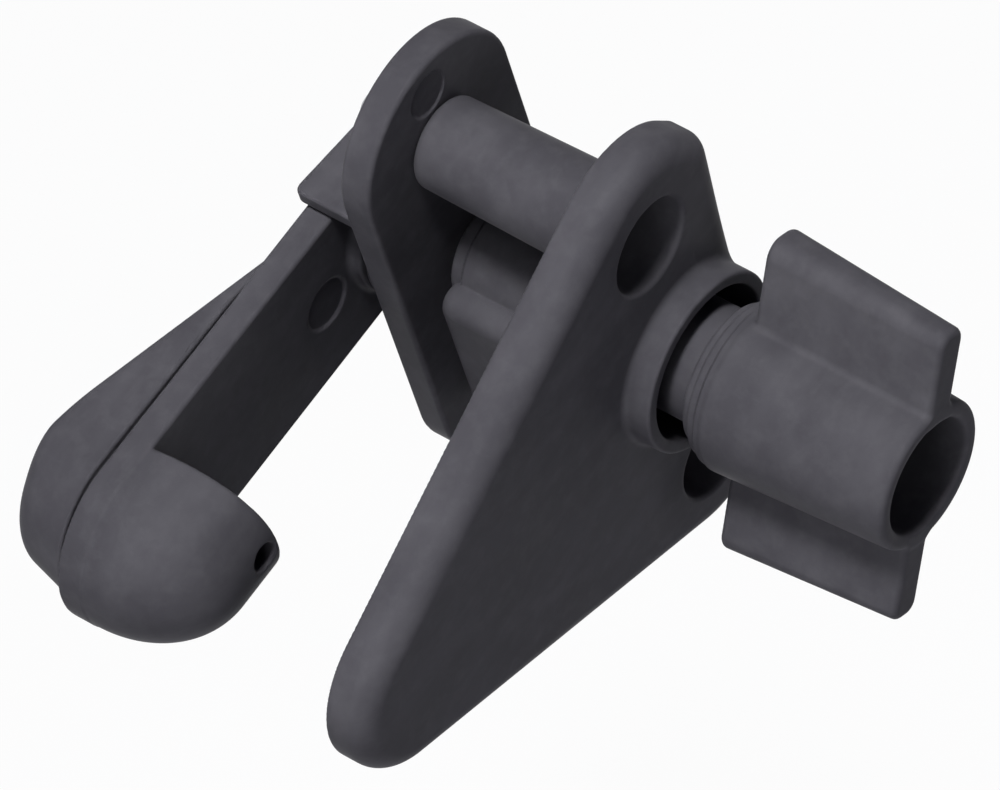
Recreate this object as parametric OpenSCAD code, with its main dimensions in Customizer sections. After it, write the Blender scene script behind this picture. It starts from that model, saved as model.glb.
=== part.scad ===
// Two-sided gate latch, moulded in black nylon.
// Origin: on the pivot axis, at the inner face of the front plate, which bears on the gate.
// X to the right, Y to the rear along the pivot, Z up. The arm and the guard point to -X.

/* [Gate] */
// Thickness of the gate stile that the two plates clamp
grip = 32; // [28:0.5:38]
// Distance between the two clamp screws
screw_spacing = 60; // [56:0.5:64]

/* [Front plate] */
// Thickness of the guard plate
guard_t = 8; // [7:0.5:10]
// Distance from the pivot to the centre of the guard's pointed end
guard_reach = 67.5; // [60:0.5:72]
// Radius of the guard's pointed end
guard_tip_r = 16; // [14:0.5:17]
// Radius of the guard's two wide corners
guard_corner_r = 17.5; // [16.5:0.1:19]
// How far the guard's straight side is waisted in
guard_waist = 1.4; // [0.8:0.1:2]
// Radius of the rounding along the guard's front edge
guard_round = 4; // [3:0.5:5.5]
// Outer radius of the raised collar round the knob's neck
collar_r = 15.5; // [15:0.1:16.5]
// Height of the collar over the guard's face
collar_h = 4.7; // [3.5:0.1:5.5]
// Radius of the recess inside the collar
recess_r = 13.3; // [12.8:0.1:13.6]
// Outer radius of the pivot sleeve behind the guard
sleeve_r = 9.5; // [9.2:0.1:10]
// Radius of a screw post where it leaves the guard
post_root_r = 8.6; // [8.4:0.1:9]
// Radius of a screw post at its rear end
post_end_r = 7.3; // [7.1:0.1:7.8]
// Radius of a screw hole's mouth in the guard's face
mouth_r = 8.4; // [7.8:0.1:8.6]
// Thickness of the web below the pivot sleeve
web_t = 5.6; // [4:0.1:6]

/* [Rear plate] */
// Thickness of the rear plate
rear_t = 5.6; // [4.5:0.1:7]
// Half the width of the rear plate, and the radius of its ends
rear_r = 18; // [17.2:0.1:18.4]
// Distance from the pivot to the centre of each round end
rear_end_z = 30.2; // [30:0.1:32]
// Radius of the pivot boss on the back of the rear plate
boss_r = 14; // [12:0.1:14.5]
// Height of the pivot boss
rear_boss_h = 5.8; // [5:0.1:7]
// Length of the stop ledge behind the rear plate
ledge_len = 16; // [14:0.5:18]
// Thickness of the stop ledge
ledge_t = 3; // [2.5:0.1:4]
// Width of the stop ledge
ledge_w = 30.5; // [26:0.5:34]

/* [Latch arm] */
// Distance from the pivot to the centre of the arm's far end
arm_reach = 68.6; // [64:0.5:74]
// Half the width of the arm, and the radius of its ends
arm_r = 16; // [15:0.1:16.2]
// Thickness of the arm's bar
arm_t = 5; // [4:0.1:6]
// How far the domed hook stands out in front of the bar
hook_depth = 18.8; // [16:0.5:22]
// Length of the hook's straight part before its round end
hook_straight = 7.3; // [5:0.1:9]
// How far the hook's flat face leans toward the pivot at its nose
hook_lean = 2.2; // [0:0.1:3]
// Height of the thumb wedge over the bar at the far end
wedge_h = 12.9; // [9:0.1:14]

/* [Wing knob] */
// Distance from the guard's inner face to the knob's front end
knob_front = 54.3; // [51:0.1:57]
// Outer radius of the barrel at the front
barrel_front_r = 12.8; // [12.4:0.1:13.2]
// Outer radius of the barrel at the back
barrel_back_r = 14.6; // [14:0.1:15]
// Radius of the deep bore in the barrel
barrel_bore_r = 9.8; // [9:0.1:10.2]
// Radius of the knob's neck
neck_r = 9.8; // [9:0.1:10.2]
// Distance from the axis to a wing's outer edge, at the back
wing_reach = 29.2; // [26:0.1:31]
// Thickness of a wing at the back
wing_t = 8.4; // [7:0.1:9]
// Angle of the wings from the X axis
wing_angle = 61; // [0:1:90]

/* [Pivot] */
// Radius of the spindle's journal
journal_r = 5; // [4.6:0.1:5.2]
// Running clearance, on the radius
run_gap = 0.08; // [0.05:0.01:0.1]
// Travel of the knob and arm against the spring
push_travel = 4; // [3:0.1:4]
// Wire diameter of the pivot spring
wire_d = 1.2; // [1:0.1:1.3]

/* [Hidden] */

// Levels along Y, front to rear
guard_face = -guard_t;
recess_floor = -3;
neck_end = recess_floor - push_travel - 0.6;
rear_back = grip + rear_t;
boss_face = rear_back + rear_boss_h;
friction_t = 0.8;
hub_face = boss_face + friction_t;
hub_boss_h = 2;
arm_face = hub_face + hub_boss_h;
arm_back = arm_face + arm_t;
hook_nose = arm_face - hook_depth;

// Pivot
sleeve_end = grip - 1.3;
sleeve_bore_r = 7.2;
sleeve_floor = sleeve_end - 5.7;
stem_r = sleeve_bore_r - run_gap;
stem_end = 6;
spring_washer_t = 1.2;
spring_start = stem_end + spring_washer_t;
spring_mean_r = 6.15;
spring_turns = 6;
square_w = 7;
square_gap = 0.1;
knob_floor = -22;
knob_shoulder = -12;
spindle_front = -20;
spindle_back = arm_back - 0.7;
m5_r = 2.5;
m5_head_r = 4.6;
m5_head_h = 3.4;
m5_washer_r = 7.5;
m5_washer_t = 1.2;
m5_length = 12;
m5_key = 4;
m5_hole_depth = 14;

// Screw posts
post_seat = 11;
post_bore_r = 6.2;
m6_r = 3;
m6_clear_r = 3.2;
m6_head_r = 5;
m6_head_h = 6;
m6_key = 5;
m6_washer_r = 5.8;
m6_washer_t = 1.4;
m6_nut_r = 5.77;
m6_nut_t = 5.2;
m6_stand_out = 1;
m6_rear_washer_r = 6.6;
post_round = 1.4;
collar_bevel = 0.6;
collar_foot = 1.4;
mouth_draft = 0.6;

// Guard outline: each wide corner is a large round with a smaller one near its point
guard_corner_x = 0.8;
guard_corner_z = screw_spacing / 2 - 0.9;
guard_point_r = 7;
guard_point_x = guard_corner_x + guard_corner_r - guard_point_r;
guard_point_z = guard_corner_z + 3.4;
waist_r = 200;

// Ringed steps of the knob's shoulder: radius and level along the barrel
shoulder_steps = [[neck_r, 14.3], [11.2, 15.2], [11.6, 16.6], [12.9, 17.6], [13.3, 19], [14.2, 19.8]];

// Wings of the knob
wing_back = 21.8;
wing_front = knob_front - 0.2;
wing_taper = 2.5;
wing_thinning = 1.6;
wing_round = 2.4;
wing_root = 8;

// Web under the sleeve
web_left = -sleeve_r - 2.7;
web_top = 1.2;
web_round = 3;
web_end = grip - 3;

// Latch arm
arm_edge = 0.4;
fullness = 0.93;
wedge_root_r = arm_r - 0.9;
wedge_root_x = 2.6 - arm_reach;
wedge_top_r = arm_r - 1;
wedge_top_x = 4.3 - arm_reach;
wedge_round = 3.4;
wedge_side_round = 1.2;
wedge_start = -20.8;
hook_hole_x = hook_straight + hook_lean - arm_reach - 3.4;
hook_hole_r = 2.4;
hook_hole_depth = 9;
arm_mark_x = -20.7;
arm_mark_r = 4.5;
hub_r = boss_r;

// Round marks left by the ejector pins of the mould
mark_depth = 0.3;
mark_r = 4;
rear_mark_x = 0.5;
rear_mark_z = rear_end_z + 11.5;

// How far a shape reaches into its neighbour or a cutter runs past a face
over = 1;

// Small rounding on moulded edges
edge = 0.8;
ledge_z = arm_r + 0.4;
nylon = "#3c3b41";
steel = "#b9bbbd";
plastic = "#e4e2da";

// Turns a shape drawn upward so that it runs to the rear along Y
module to_rear(y = 0) translate([0, y, 0]) rotate([-90, 0, 0]) children();

// Turns a shape drawn upward so that it runs to the front along -Y
module to_front(y = 0) translate([0, y, 0]) rotate([90, 0, 0]) children();

// Places its children at both clamp screws
module at_screws() for (side = [-1, 1]) translate([0, 0, side * screw_spacing / 2]) children();

// A round disc, or a share of one, whose front rim is rounded and whose back rim has a small bevel
module rounded_disc(r, h, round_r, sweep = 360)
    rotate_extrude(angle = sweep, $fn = 56)
        polygon(concat([[0, 0], [r - edge, 0], [r, edge]],
                       [for (i = [0:6]) let (a = i * 15)
                           [r - round_r + round_r * cos(a), h - round_r + round_r * sin(a)]],
                       [[0, h]]));

// The guard's triangular body, with its straight side waisted in by a large round
module guard_body()
    difference() {
        hull() {
            for (side = [-1, 1]) {
                translate([guard_corner_x, 0, side * guard_corner_z])
                    to_front() rounded_disc(guard_corner_r, guard_t, guard_round);
                translate([guard_point_x, 0, side * guard_point_z])
                    to_front() rounded_disc(guard_point_r, guard_t, guard_round);
            }
            translate([-guard_reach, 0, 0])
                to_front() rounded_disc(guard_tip_r, guard_t, guard_round);
        }
        translate([guard_corner_x + guard_corner_r - guard_waist + waist_r, 0, 0])
            to_front(over) waist_cutter();
    }

// Cuts the waist and leaves the same rounding along its front edge
module waist_cutter()
    rotate_extrude($fn = 720)
        polygon(concat([[0, 0], [waist_r, 0]],
                       [for (i = [0:6]) let (a = i * 15)
                           [waist_r + guard_round * (1 - cos(a)),
                            over + guard_t - guard_round * (1 - sin(a))]],
                       [[waist_r + guard_round, guard_t + 2 * over], [0, guard_t + 2 * over]]));

// One screw post, drafted, with a rounded rear end
module post()
    to_rear(-over) rotate_extrude($fn = 64)
        polygon(concat([[0, 0], [post_root_r, 0]],
                       [for (i = [0:3]) let (a = i * 30)
                           [post_end_r - post_round * (1 - cos(a)),
                            grip + over - post_round * (1 - sin(a))]],
                       [[0, grip + over]]));

// The web that ties the sleeve to the lower post
module web()
    difference() {
        translate([web_left, -over, -screw_spacing / 2])
            cube([web_t, web_end + over, screw_spacing / 2 + web_top]);
        translate([web_left - over, web_end - web_round, web_top - web_round])
            rotate([0, 90, 0]) corner_cutter(web_round, web_t + 2 * over, 90);
        translate([web_left + web_round, grip, web_top - web_round])
            rotate([90, 0, 0]) corner_cutter(web_round, grip + 2 * over, 90);
    }

// What is cut away to round a square edge: drawn upward, with the edge at the given angle from X
module corner_cutter(r, length, turn)
    rotate([0, 0, turn])
        difference() {
            cube([r + over / 2, r + over / 2, length]);
            translate([0, 0, -over]) cylinder(r = r, h = length + 2 * over, $fn = 48);
        }

// The raised collar round the knob's neck, with a flared foot and a bevelled rim
module collar()
    to_front(over - guard_t) rotate_extrude($fn = 96)
        polygon([[0, 0], [collar_r + collar_foot, 0], [collar_r + collar_foot, over],
                 [collar_r, over + collar_foot], [collar_r, over + collar_h - collar_bevel],
                 [collar_r - collar_bevel, over + collar_h], [0, over + collar_h]]);

module front_plate() {
    color(nylon)
        difference() {
            union() {
                guard_body();
                collar();
                to_rear(-over) cylinder(r = sleeve_r, h = sleeve_end + over - edge, $fn = 96);
                to_rear(sleeve_end - edge) cylinder(r1 = sleeve_r, r2 = sleeve_r - edge, h = edge, $fn = 96);
                at_screws() post();
                web();
            }
            to_front(recess_floor) cylinder(r = recess_r, h = guard_t + collar_h, $fn = 96);
            to_front(sleeve_floor) cylinder(r = sleeve_bore_r, h = sleeve_floor + guard_t, $fn = 96);
            to_rear(sleeve_floor - over)
                cylinder(r = journal_r + run_gap, h = sleeve_end - sleeve_floor + 2 * over, $fn = 64);
            at_screws() {
                to_front()
                    cylinder(r1 = post_bore_r + mouth_draft, r2 = mouth_r, h = guard_t + 0.001, $fn = 96);
                to_front(post_seat) cylinder(r = post_bore_r, h = post_seat + over / 2, $fn = 64);
                to_rear(post_seat - over) cylinder(r = m6_clear_r, h = grip, $fn = 48);
            }
        }
}

// A plate with two round ends and a small bevel all round, drawn along X from the origin
module two_round_ends(reach, r, t, bevel) {
    for (end = [0, reach])
        translate([end, 0, 0])
            rotate_extrude($fn = 96)
                polygon([[0, 0], [r - bevel, 0], [r, bevel], [r, t - bevel], [r - bevel, t], [0, t]]);
    rotate([90, 0, 90])
        linear_extrude(reach)
            polygon([[-r, bevel], [bevel - r, 0], [r - bevel, 0], [r, bevel],
                     [r, t - bevel], [r - bevel, t], [bevel - r, t], [-r, t - bevel]]);
}

module stop_ledge()
    translate([0, rear_back - 0.5, ledge_z])
        linear_extrude(ledge_t)
            union() {
                translate([-ledge_w / 2, 0]) square([ledge_w, ledge_len + 0.5 - 3]);
                translate([-ledge_w / 2 + 3, 0]) square([ledge_w - 6, ledge_len + 0.5]);
                for (side = [-1, 1])
                    translate([side * (ledge_w / 2 - 3), ledge_len + 0.5 - 3]) circle(r = 3, $fn = 32);
            }

module rear_plate() {
    color(nylon)
        difference() {
            union() {
                translate([0, 0, -rear_end_z])
                    to_rear(grip) rotate([0, 0, -90]) two_round_ends(2 * rear_end_z, rear_r, rear_t, edge);
                to_rear(rear_back - 0.5) cylinder(r = boss_r, h = rear_boss_h + 0.5, $fn = 96);
                stop_ledge();
            }
            to_rear(grip - 1) cylinder(r = journal_r + run_gap, h = rear_t + rear_boss_h + 2, $fn = 64);
            at_screws() to_rear(grip - 1) cylinder(r = m6_clear_r, h = rear_t + 2, $fn = 48);
            for (side = [-1, 1])
                translate([rear_mark_x, 0, side * rear_mark_z])
                    to_rear(grip - over) cylinder(r = mark_r, h = over + mark_depth, $fn = 48);
        }
}

// A cap screw drawn upward: the head's underside is at the origin and the shank runs down
module cap_screw(shank_r, shank_len, head_r, head_h, key_w) {
    difference() {
        union() {
            cylinder(r = head_r, h = head_h - 0.5, $fn = 48);
            translate([0, 0, head_h - 0.5]) cylinder(r1 = head_r, r2 = head_r - 0.5, h = 0.5, $fn = 48);
            translate([0, 0, -shank_len]) cylinder(r = shank_r, h = shank_len + 0.1, $fn = 48);
        }
        translate([0, 0, head_h * 0.45]) cylinder(r = key_w / sqrt(3), h = head_h, $fn = 6);
    }
}

module washer(r, bore_r, t)
    difference() {
        cylinder(r = r, h = t, $fn = 64);
        translate([0, 0, -1]) cylinder(r = bore_r, h = t + 2, $fn = 48);
    }

module clamp_screws() {
    nut_end = rear_back + m6_washer_t + m6_nut_t;
    color(steel)
        at_screws() to_front(post_seat - m6_washer_t)
            cap_screw(m6_r, nut_end + m6_stand_out - post_seat + m6_washer_t, m6_head_r, m6_head_h,
                      m6_key);
}

module clamp_head_washers()
    color(steel) at_screws() to_front(post_seat) washer(m6_washer_r, m6_clear_r, m6_washer_t);

module clamp_nut_washers()
    color(steel) at_screws() to_rear(rear_back) washer(m6_rear_washer_r, m6_clear_r, m6_washer_t);

module clamp_nuts()
    color(steel)
        at_screws() to_rear(rear_back + m6_washer_t)
            difference() {
                cylinder(r = m6_nut_r, h = m6_nut_t, $fn = 6);
                translate([0, 0, -1]) cylinder(r = m6_r, h = m6_nut_t + 2, $fn = 48);
            }

// One corner pair of a wing: the given level along the barrel, reach from the axis and thickness
module wing_end(level, inner_level, reach, t)
    for (half = [-1, 1]) {
        translate([reach - wing_round, half * (t / 2 - wing_round), inner_level])
            sphere(r = wing_round, $fn = 24);
        translate([wing_root, half * (t / 2 - 0.2), level - 0.2])
            cylinder(r = 0.2, h = 0.4, $fn = 12);
    }

// The two wings, drawn with the barrel's axis upward from its back end
module wings()
    for (side = [0, 180])
        rotate([0, 0, side])
            hull() {
                wing_end(wing_back + 0.2, wing_back + wing_round, wing_reach, wing_t);
                wing_end(wing_front - 0.2, wing_front - wing_round, wing_reach - wing_taper,
                         wing_t - wing_thinning);
            }

module wing_knob() {
    color(nylon)
        difference() {
            union() {
                to_front() rotate_extrude($fn = 96)
                    polygon(concat(
                        [[0, -stem_end], [stem_r - 0.5, -stem_end], [stem_r, 0.5 - stem_end],
                         [stem_r, -neck_end], [neck_r - 0.4, -neck_end], [neck_r, 0.4 - neck_end]],
                        shoulder_steps,
                        [[barrel_back_r, 21.4], [barrel_front_r + 0.1, knob_front - 1.2],
                         [barrel_front_r - 1, knob_front], [0, knob_front]]));
                to_front() rotate([0, 0, wing_angle]) wings();
            }
            to_front(knob_floor) cylinder(r = barrel_bore_r, h = knob_front, $fn = 96);
            to_front(stem_end + 1)
                cylinder(r = journal_r + run_gap, h = stem_end + 1 - knob_shoulder, $fn = 64);
            translate([0, knob_floor - 1, 0]) rotate([0, -wing_angle, 0])
                translate([-(square_w + square_gap) / 2, 0, -(square_w + square_gap) / 2])
                    cube([square_w + square_gap, knob_shoulder - knob_floor + 2, square_w + square_gap]);
        }
}

module pivot_spindle() {
    color(steel)
        difference() {
            union() {
                to_front(hub_face) cylinder(r = journal_r, h = hub_face - knob_shoulder, $fn = 64);
                translate([0, spindle_front, 0]) rotate([0, -wing_angle, 0])
                    translate([-square_w / 2, 0, -square_w / 2])
                        cube([square_w, knob_shoulder - spindle_front + 0.5, square_w]);
                translate([-square_w / 2, hub_face - 0.5, -square_w / 2])
                    cube([square_w, spindle_back - hub_face + 0.5, square_w]);
            }
            to_rear(spindle_front - over) cylinder(r = m5_r, h = m5_hole_depth + over, $fn = 48);
            to_front(spindle_back + over) cylinder(r = m5_r, h = m5_hole_depth + over, $fn = 48);
        }
}

module knob_screw()
    color(steel)
        to_front(knob_floor - m5_washer_t) cap_screw(m5_r, m5_length, m5_head_r, m5_head_h, m5_key);

module knob_screw_washer()
    color(steel) to_front(knob_floor) washer(m5_washer_r, m5_r + 0.2, m5_washer_t);

module arm_screw()
    color(steel)
        to_rear(arm_back + m5_washer_t) cap_screw(m5_r, m5_length, m5_head_r, m5_head_h, m5_key);

module arm_screw_washer()
    color(steel) to_rear(arm_back) washer(m5_washer_r, m5_r + 0.2, m5_washer_t);

module spring_washer()
    color(plastic) to_rear(stem_end) washer(sleeve_bore_r - 0.3, journal_r + 0.15, spring_washer_t);

// A round wire swept along a helix, with its end turns closed
module pivot_spring() {
    length = sleeve_floor - spring_start;
    sides = 8;
    steps = spring_turns * 20;
    rise = length - wire_d - 0.1;
    function lift(t) = wire_d / 2 + 0.05 + rise * (t < 0.12 ? 0 : t > 0.88 ? 1 : (t - 0.12) / 0.76);
    function ring(i) = let (t = i / steps, a = 360 * spring_turns * t)
        [for (k = [0:sides - 1]) let (b = 360 * k / sides, r = spring_mean_r + wire_d / 2 * cos(b))
            [r * cos(a), r * sin(a), lift(t) + wire_d / 2 * sin(b)]];
    rings = [for (i = [0:steps]) each ring(i)];
    color(steel)
        to_rear(spring_start)
            polyhedron(
                points = rings,
                faces = concat(
                    [[for (k = [0:sides - 1]) k]],
                    [[for (k = [sides - 1:-1:0]) steps * sides + k]],
                    [for (i = [0:steps - 1], k = [0:sides - 1]) let (n = (k + 1) % sides)
                        [i * sides + k, (i + 1) * sides + k, (i + 1) * sides + n, i * sides + n]]));
}

module friction_washer()
    color(plastic) to_rear(boss_face) washer(boss_r - 1.6, journal_r + 0.15, friction_t);

// Outline of a dome, a little fuller than an ellipse: half width along X, depth along Y
function dome(half_w, depth, span, n) =
    [for (i = [0:n]) let (a = span * i / n, c = cos(a))
        [half_w * sign(c) * pow(abs(c), fullness), depth * sin(a)]];

// The domed hook in front of the bar: half a dome, then a straight part with a flat, leaning end
module hook() {
    n = 12;
    translate([-arm_reach, arm_face + 0.01, 0]) rotate([90, 0, 0])
        rotate([0, 0, 90]) rotate_extrude(angle = 180, $fn = 96)
            polygon(concat([[0, 0]], dome(arm_r, hook_depth, 90, n)));
    difference() {
        translate([-arm_reach, arm_face + 0.01, 0]) rotate([0, 90, 0])
            linear_extrude(hook_straight + hook_lean + over)
                polygon(dome(arm_r, -hook_depth, 180, 2 * n));
        translate([hook_straight - arm_reach, arm_face, -arm_r - over])
            linear_extrude(2 * (arm_r + over))
                polygon([[0, over], [0, 0], [hook_lean, -hook_depth], [hook_lean, -hook_depth - over],
                         [hook_lean + 2 * over, -hook_depth - over], [hook_lean + 2 * over, over]]);
    }
}

// The thumb wedge behind the bar, deepest at the far end, with a drafted wall
module wedge()
    hull() {
        translate([wedge_root_x, arm_back - 0.01, 0])
            to_rear() cylinder(r = wedge_root_r, h = edge, $fn = 56);
        translate([wedge_top_x, arm_back - 0.01, 0])
            to_rear() rotate([0, 0, 90]) rounded_disc(wedge_top_r, wedge_h, wedge_round, 180);
        for (side = [-1, 1])
            translate([wedge_top_x, arm_back + wedge_h - wedge_side_round,
                       side * (wedge_root_r - wedge_side_round)])
                sphere(r = wedge_side_round, $fn = 24);
        translate([wedge_start, arm_back - 0.01, edge - wedge_root_r])
            cube([edge, edge / 2, 2 * (wedge_root_r - edge)]);
    }

module latch_arm() {
    color(nylon)
        difference() {
            union() {
                translate([-arm_reach, 0, 0])
                    to_rear(arm_face) two_round_ends(arm_reach, arm_r, arm_t, arm_edge);
                to_rear(hub_face) cylinder(r = hub_r, h = hub_boss_h + over / 2, $fn = 96);
                hook();
                wedge();
            }
            translate([-(square_w + square_gap) / 2, hub_face - 1, -(square_w + square_gap) / 2])
                cube([square_w + square_gap, arm_t + hub_boss_h + 2, square_w + square_gap]);
            translate([hook_hole_x, 0, 0])
                to_rear(hook_nose - over) cylinder(r = hook_hole_r, h = hook_hole_depth + over, $fn = 48);
            translate([arm_mark_x, 0, 0])
                to_rear(arm_face - over) cylinder(r = arm_mark_r, h = over + mark_depth, $fn = 48);
        }
}

front_plate();
rear_plate();
clamp_screws();
clamp_nuts();
clamp_nut_washers();
clamp_head_washers();
wing_knob();
pivot_spindle();
knob_screw();
knob_screw_washer();
spring_washer();
pivot_spring();
friction_washer();
latch_arm();
arm_screw();
arm_screw_washer();
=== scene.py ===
import logging
import math
from collections.abc import Callable, Sequence
from dataclasses import dataclass, replace
from enum import Enum

import bpy
import numpy as np
from mathutils import Matrix, Vector


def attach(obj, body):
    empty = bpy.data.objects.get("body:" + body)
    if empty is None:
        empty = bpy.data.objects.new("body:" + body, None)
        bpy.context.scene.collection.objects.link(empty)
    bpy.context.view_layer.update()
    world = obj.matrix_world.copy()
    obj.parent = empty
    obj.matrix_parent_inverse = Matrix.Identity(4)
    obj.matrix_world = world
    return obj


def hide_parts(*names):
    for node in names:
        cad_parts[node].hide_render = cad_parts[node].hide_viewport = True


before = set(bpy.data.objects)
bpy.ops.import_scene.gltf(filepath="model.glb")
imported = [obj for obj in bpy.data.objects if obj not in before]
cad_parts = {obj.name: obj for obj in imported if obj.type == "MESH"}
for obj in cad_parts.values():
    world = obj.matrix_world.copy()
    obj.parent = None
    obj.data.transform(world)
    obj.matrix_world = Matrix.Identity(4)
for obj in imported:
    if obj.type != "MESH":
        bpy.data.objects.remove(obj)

LOG = logging.getLogger("gate_latch")
MM = 0.001
# Y of the far ends of cutters that run out of the part, in millimetres
AHEAD, BEHIND = -80.0, 80.0
Array = np.ndarray
Shape = Callable[[Array], Array]
Owner = bpy.types.Material | bpy.types.World
Source = tuple[bpy.types.Node, str | int]


# Shapes as distance fields. Points are in millimetres, X, Y, Z in columns; inside is negative.

def soft_min(a: Array, b: Array, blend: float) -> Array:
    """Joins two shapes with a fillet.

    Args:
        a: Distances to the first shape.
        b: Distances to the second shape.
        blend: Width of the fillet's band in mm.

    Returns:
        Distances to the joined shape.
    """
    near = np.maximum(blend - np.abs(a - b), 0.0) / blend
    return np.minimum(a, b) - near * near * blend / 4


def soft_max(a: Array, b: Array, blend: float) -> Array:
    """Keeps what two shapes share, with a rounded edge; see soft_min for the arguments."""
    return -soft_min(-a, -b, blend)


def cut(a: Array, b: Array, blend: float) -> Array:
    """Takes shape b out of shape a and rounds the mouth's edge."""
    return soft_max(a, -b, blend)


def rounded_cap(outline: Array, level: Array, radius: float | Array) -> Array:
    """Ends an outline at a level with a rounded edge.

    Args:
        outline: Distances to the outline's walls.
        level: Distances to the end face.
        radius: Radius of the edge between them.

    Returns:
        Distances to the capped shape.
    """
    w, h = outline + radius, level + radius
    return np.minimum(np.maximum(w, h), 0.0) + np.hypot(np.maximum(w, 0.0), np.maximum(h, 0.0)) - radius


def rod(p: Array, x: float, z: float, radius: float, front: float, back: float,
        edge: float = 0.1) -> Array:
    """Distances to a round rod along Y with rounded ends.

    Args:
        p: Points.
        x: X of its axis.
        z: Z of its axis.
        radius: Its radius.
        front: Y of its front end.
        back: Y of its back end.
        edge: Radius of its end edges.

    Returns:
        One distance for each point.
    """
    wall = np.hypot(p[:, 0] - x, p[:, 2] - z) - radius
    middle, half = (front + back) / 2, (back - front) / 2
    return rounded_cap(wall, np.abs(p[:, 1] - middle) - half, edge)


def cone(p: Array, x: float, z: float, ends: Sequence[Sequence[float]], edge: float = 0.1) -> Array:
    """Distances to a drafted round post along Y.

    Args:
        p: Points.
        x: X of its axis.
        z: Z of its axis.
        ends: (Y, radius) at the front and at the back.
        edge: Radius of its end edges.

    Returns:
        One distance for each point.
    """
    (front, r0), (back, r1) = ends
    draft = (r1 - r0) / (back - front)
    wall = np.hypot(p[:, 0] - x, p[:, 2] - z) - (r0 + draft * (p[:, 1] - front))
    middle, half = (front + back) / 2, (back - front) / 2
    return rounded_cap(wall / math.hypot(1, draft), np.abs(p[:, 1] - middle) - half, edge)


def strap(u: Array, v: Array, start: Sequence[float], end: Sequence[float]) -> Array:
    """Distances in a plane to the strap round two circles of different radii.

    Args:
        u: First coordinate of the points.
        v: Second coordinate of the points.
        start: (u, v, radius) of the first circle.
        end: (u, v, radius) of the second circle.

    Returns:
        One distance for each point.
    """
    du, dv = end[0] - start[0], end[1] - start[1]
    h = du * du + dv * dv
    a, b = u - start[0], v - start[1]
    across = np.abs(a * dv - b * du) / h
    along = (a * du + b * dv) / h
    less = start[2] - end[2]
    c = math.sqrt(h - less * less)
    k = c * along - less * across
    square = across * across + along * along
    return np.where(
        k < 0,
        np.sqrt(h * square) - start[2],
        np.where(k > c, np.sqrt(np.maximum(h * (square + 1 - 2 * along), 0.0)) - end[2],
                 c * across + less * along - start[2]),
    )


def stadium(u: Array, v: Array, start: float, end: float, radius: float) -> Array:
    """Distances in a plane to a plate outline with two round ends along u."""
    return np.hypot(u - np.clip(u, start, end), v) - radius


# From a distance field to a mesh

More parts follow.
